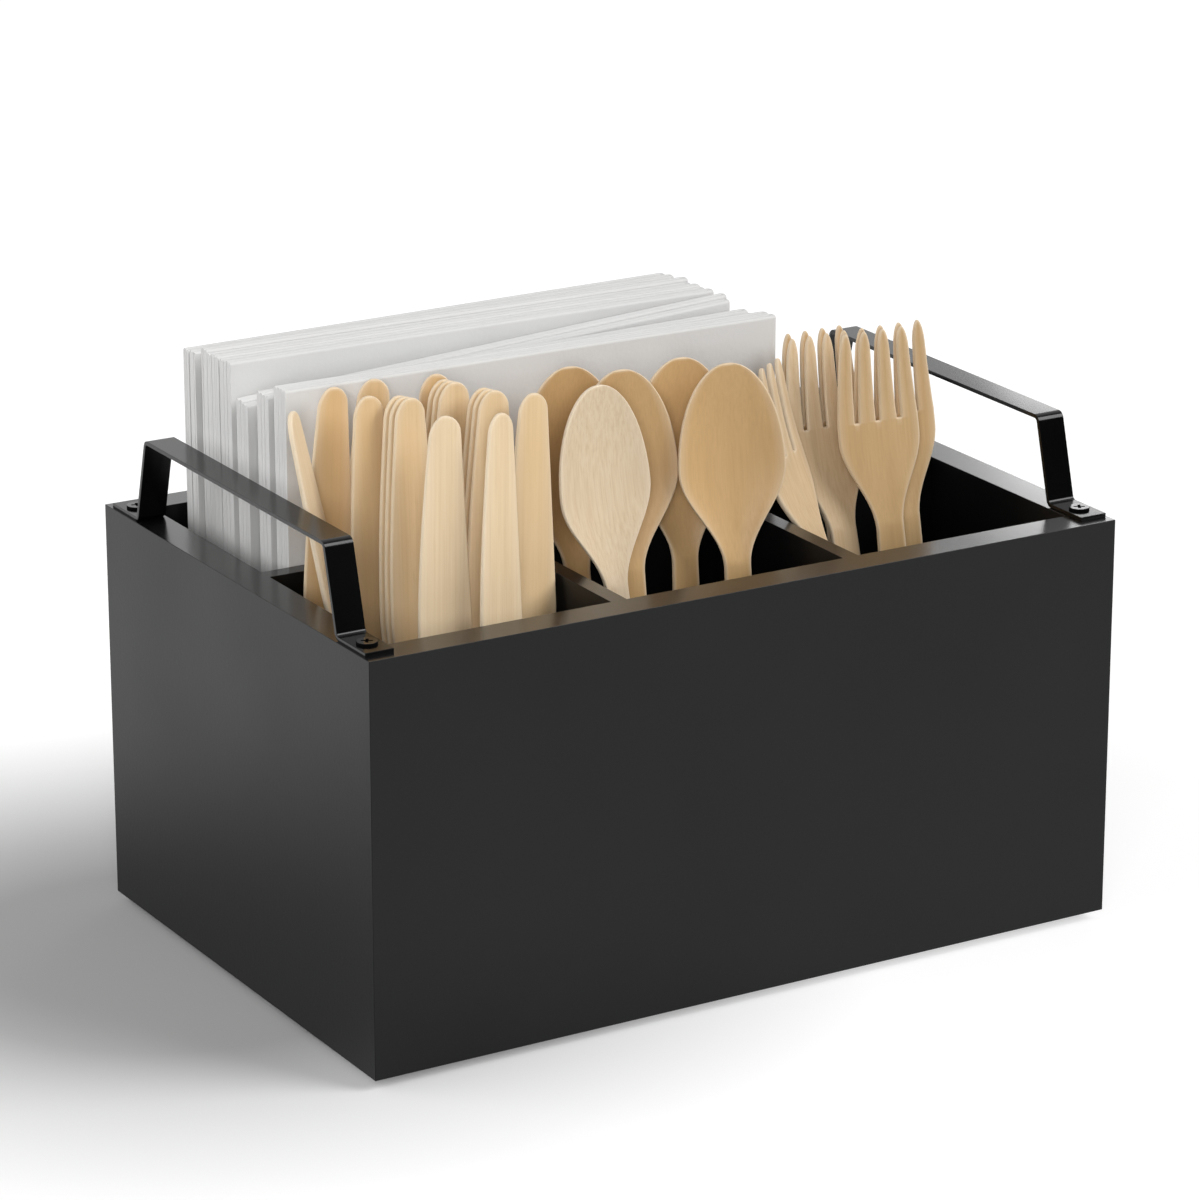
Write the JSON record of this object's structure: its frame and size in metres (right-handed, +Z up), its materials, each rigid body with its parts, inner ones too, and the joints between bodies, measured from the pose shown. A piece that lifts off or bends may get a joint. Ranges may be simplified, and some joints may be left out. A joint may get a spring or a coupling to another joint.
{
  "type": "flatware caddy",
  "caption": "Black mitred box with a rear napkin bay, front bays for knives, spoons and forks, and a bent strap handle on each short side; its stock lifts out.",
  "frame": {"origin": "on the table, under the middle of the box", "axes": "+X to the right along the length, +Y to the back, where the napkins stand, +Z up"},
  "size_m": [0.3048, 0.2028, 0.2204],
  "materials": {
    "box": "black satin lacquer",
    "strap": "satin black coat",
    "screw": "gloss black",
    "pad": "matt",
    "spline": "bare",
    "napkin": "matt soft paper",
    "pale_wood": "smooth bare birch",
    "warm_wood": "smooth bare birch"
  },
  "bodies": {
    "caddy": {"front_wall": "box", "back_wall": "box", "left_wall": "box", "right_wall": "box", "floor": "box", "long_divider": "box", "left_cross_divider": "box", "right_cross_divider": "box", "corner_splines": "spline", "left_handle": "strap", "right_handle": "strap", "left_handle_screws": "screw", "right_handle_screws": "screw", "foot_pads": "pad"},
    "napkin_1": {"napkin_1": "napkin"},
    "napkin_2": {"napkin_2": "napkin"},
    "napkin_3": {"napkin_3": "napkin"},
    "napkin_4": {"napkin_4": "napkin"},
    "napkin_5": {"napkin_5": "napkin"},
    "napkin_6": {"napkin_6": "napkin"},
    "napkin_7": {"napkin_7": "napkin"},
    "napkin_8": {"napkin_8": "napkin"},
    "napkin_9": {"napkin_9": "napkin"},
    "napkin_10": {"napkin_10": "napkin"},
    "napkin_11": {"napkin_11": "napkin"},
    "napkin_12": {"napkin_12": "napkin"},
    "napkin_13": {"napkin_13": "napkin"},
    "knife_1": {"knife_1": "pale_wood"},
    "knife_2": {"knife_2": "pale_wood"},
    "knife_3": {"knife_3": "pale_wood"},
    "knife_4": {"knife_4": "pale_wood"},
    "knife_5": {"knife_5": "pale_wood"},
    "knife_6": {"knife_6": "pale_wood"},
    "knife_7": {"knife_7": "pale_wood"},
    "knife_8": {"knife_8": "pale_wood"},
    "knife_9": {"knife_9": "pale_wood"},
    "knife_10": {"knife_10": "pale_wood"},
    "knife_11": {"knife_11": "pale_wood"},
    "knife_12": {"knife_12": "pale_wood"},
    "knife_13": {"knife_13": "pale_wood"},
    "knife_14": {"knife_14": "pale_wood"},
    "knife_15": {"knife_15": "pale_wood"},
    "knife_16": {"knife_16": "pale_wood"},
    "knife_17": {"knife_17": "pale_wood"},
    "spoon_1": {"spoon_1": "warm_wood"},
    "spoon_2": {"spoon_2": "warm_wood"},
    "spoon_3": {"spoon_3": "warm_wood"},
    "spoon_4": {"spoon_4": "warm_wood"},
    "spoon_5": {"spoon_5": "warm_wood"},
    "fork_1": {"fork_1": "warm_wood"},
    "fork_2": {"fork_2": "warm_wood"},
    "fork_3": {"fork_3": "warm_wood"},
    "fork_4": {"fork_4": "warm_wood"},
    "fork_5": {"fork_5": "warm_wood"}
  },
  "joints": [
    {"name": "napkin_1_lift", "type": "slide", "parent": "caddy", "child": "napkin_1", "axis": [0, 0, 1], "range_m": [0, 0.36]},
    {"name": "napkin_2_lift", "type": "slide", "parent": "caddy", "child": "napkin_2", "axis": [0, 0, 1], "range_m": [0, 0.36]},
    {"name": "napkin_3_lift", "type": "slide", "parent": "caddy", "child": "napkin_3", "axis": [0, 0, 1], "range_m": [0, 0.36]},
    {"name": "napkin_4_lift", "type": "slide", "parent": "caddy", "child": "napkin_4", "axis": [0, 0, 1], "range_m": [0, 0.36]},
    {"name": "napkin_5_lift", "type": "slide", "parent": "caddy", "child": "napkin_5", "axis": [0, 0, 1], "range_m": [0, 0.36]},
    {"name": "napkin_6_lift", "type": "slide", "parent": "caddy", "child": "napkin_6", "axis": [0, 0, 1], "range_m": [0, 0.36]},
    {"name": "napkin_7_lift", "type": "slide", "parent": "caddy", "child": "napkin_7", "axis": [0, 0, 1], "range_m": [0, 0.36]},
    {"name": "napkin_8_lift", "type": "slide", "parent": "caddy", "child": "napkin_8", "axis": [0, 0, 1], "range_m": [0, 0.36]},
    {"name": "napkin_9_lift", "type": "slide", "parent": "caddy", "child": "napkin_9", "axis": [0, 0, 1], "range_m": [0, 0.36]},
    {"name": "napkin_10_lift", "type": "slide", "parent": "caddy", "child": "napkin_10", "axis": [0, 0, 1], "range_m": [0, 0.36]},
    {"name": "napkin_11_lift", "type": "slide", "parent": "caddy", "child": "napkin_11", "axis": [0, 0, 1], "range_m": [0, 0.36]},
    {"name": "napkin_12_lift", "type": "slide", "parent": "caddy", "child": "napkin_12", "axis": [0, 0, 1], "range_m": [0, 0.36]},
    {"name": "napkin_13_lift", "type": "slide", "parent": "caddy", "child": "napkin_13", "axis": [0, 0, 1], "range_m": [0, 0.36]},
    {"name": "knife_1_lift", "type": "slide", "parent": "caddy", "child": "knife_1", "axis": [-0.1818, 0.0698, 0.9809], "range_m": [0, 0.145]},
    {"name": "knife_2_lift", "type": "slide", "parent": "caddy", "child": "knife_2", "axis": [0.0697, 0.0523, 0.9962], "range_m": [0, 0.145]},
    {"name": "knife_3_lift", "type": "slide", "parent": "caddy", "child": "knife_3", "axis": [0.0697, 0.0523, 0.9962], "range_m": [0, 0.145]},
    {"name": "knife_4_lift", "type": "slide", "parent": "caddy", "child": "knife_4", "axis": [0.0174, 0.1045, 0.9944], "range_m": [0, 0.145]},
    {"name": "knife_5_lift", "type": "slide", "parent": "caddy", "child": "knife_5", "axis": [0.0347, 0.1045, 0.9939], "range_m": [0, 0.145]},
    {"name": "knife_6_lift", "type": "slide", "parent": "caddy", "child": "knife_6", "axis": [0.0347, 0.1045, 0.9939], "range_m": [0, 0.145]},
    {"name": "knife_7_lift", "type": "slide", "parent": "caddy", "child": "knife_7", "axis": [0.0347, 0.1045, 0.9939], "range_m": [0, 0.145]},
    {"name": "knife_8_lift", "type": "slide", "parent": "caddy", "child": "knife_8", "axis": [0.0863, 0.1392, 0.9865], "range_m": [0, 0.145]},
    {"name": "knife_9_lift", "type": "slide", "parent": "caddy", "child": "knife_9", "axis": [0.0522, 0.0698, 0.9962], "range_m": [0, 0.145]},
    {"name": "knife_10_lift", "type": "slide", "parent": "caddy", "child": "knife_10", "axis": [0.0695, 0.0872, 0.9938], "range_m": [0, 0.145]},
    {"name": "knife_11_lift", "type": "slide", "parent": "caddy", "child": "knife_11", "axis": [0.0695, 0.0872, 0.9938], "range_m": [0, 0.145]},
    {"name": "knife_12_lift", "type": "slide", "parent": "caddy", "child": "knife_12", "axis": [0.0695, 0.0872, 0.9938], "range_m": [0, 0.145]},
    {"name": "knife_13_lift", "type": "slide", "parent": "caddy", "child": "knife_13", "axis": [0.0865, 0.1219, 0.9888], "range_m": [0, 0.145]},
    {"name": "knife_14_lift", "type": "slide", "parent": "caddy", "child": "knife_14", "axis": [0.0865, 0.1219, 0.9888], "range_m": [0, 0.145]},
    {"name": "knife_15_lift", "type": "slide", "parent": "caddy", "child": "knife_15", "axis": [0.0865, 0.1219, 0.9888], "range_m": [0, 0.145]},
    {"name": "knife_16_lift", "type": "slide", "parent": "caddy", "child": "knife_16", "axis": [0.0778, 0.1305, 0.9884], "range_m": [0, 0.145]},
    {"name": "knife_17_lift", "type": "slide", "parent": "caddy", "child": "knife_17", "axis": [0.0865, 0.1219, 0.9888], "range_m": [0, 0.145]},
    {"name": "spoon_1_lift", "type": "slide", "parent": "caddy", "child": "spoon_1", "axis": [0.0087, 0.1045, 0.9945], "range_m": [0, 0.145]},
    {"name": "spoon_2_lift", "type": "slide", "parent": "caddy", "child": "spoon_2", "axis": [-0.0606, 0.1219, 0.9907], "range_m": [0, 0.145]},
    {"name": "spoon_3_lift", "type": "slide", "parent": "caddy", "child": "spoon_3", "axis": [0, 0.1219, 0.9925], "range_m": [0, 0.145]},
    {"name": "spoon_4_lift", "type": "slide", "parent": "caddy", "child": "spoon_4", "axis": [0.0346, 0.1219, 0.9919], "range_m": [0, 0.145]},
    {"name": "spoon_5_lift", "type": "slide", "parent": "caddy", "child": "spoon_5", "axis": [0, 0.1219, 0.9925], "range_m": [0, 0.145]},
    {"name": "fork_1_lift", "type": "slide", "parent": "caddy", "child": "fork_1", "axis": [-0.1916, 0.2756, 0.942], "range_m": [0, 0.145]},
    {"name": "fork_2_lift", "type": "slide", "parent": "caddy", "child": "fork_2", "axis": [-0.0084, 0.2504, 0.9681], "range_m": [0, 0.145]},
    {"name": "fork_3_lift", "type": "slide", "parent": "caddy", "child": "fork_3", "axis": [-0.0084, 0.2504, 0.9681], "range_m": [0, 0.145]},
    {"name": "fork_4_lift", "type": "slide", "parent": "caddy", "child": "fork_4", "axis": [-0.0433, 0.1219, 0.9916], "range_m": [0, 0.145]},
    {"name": "fork_5_lift", "type": "slide", "parent": "caddy", "child": "fork_5", "axis": [-0.0433, 0.1219, 0.9916], "range_m": [0, 0.145]}
  ]
}
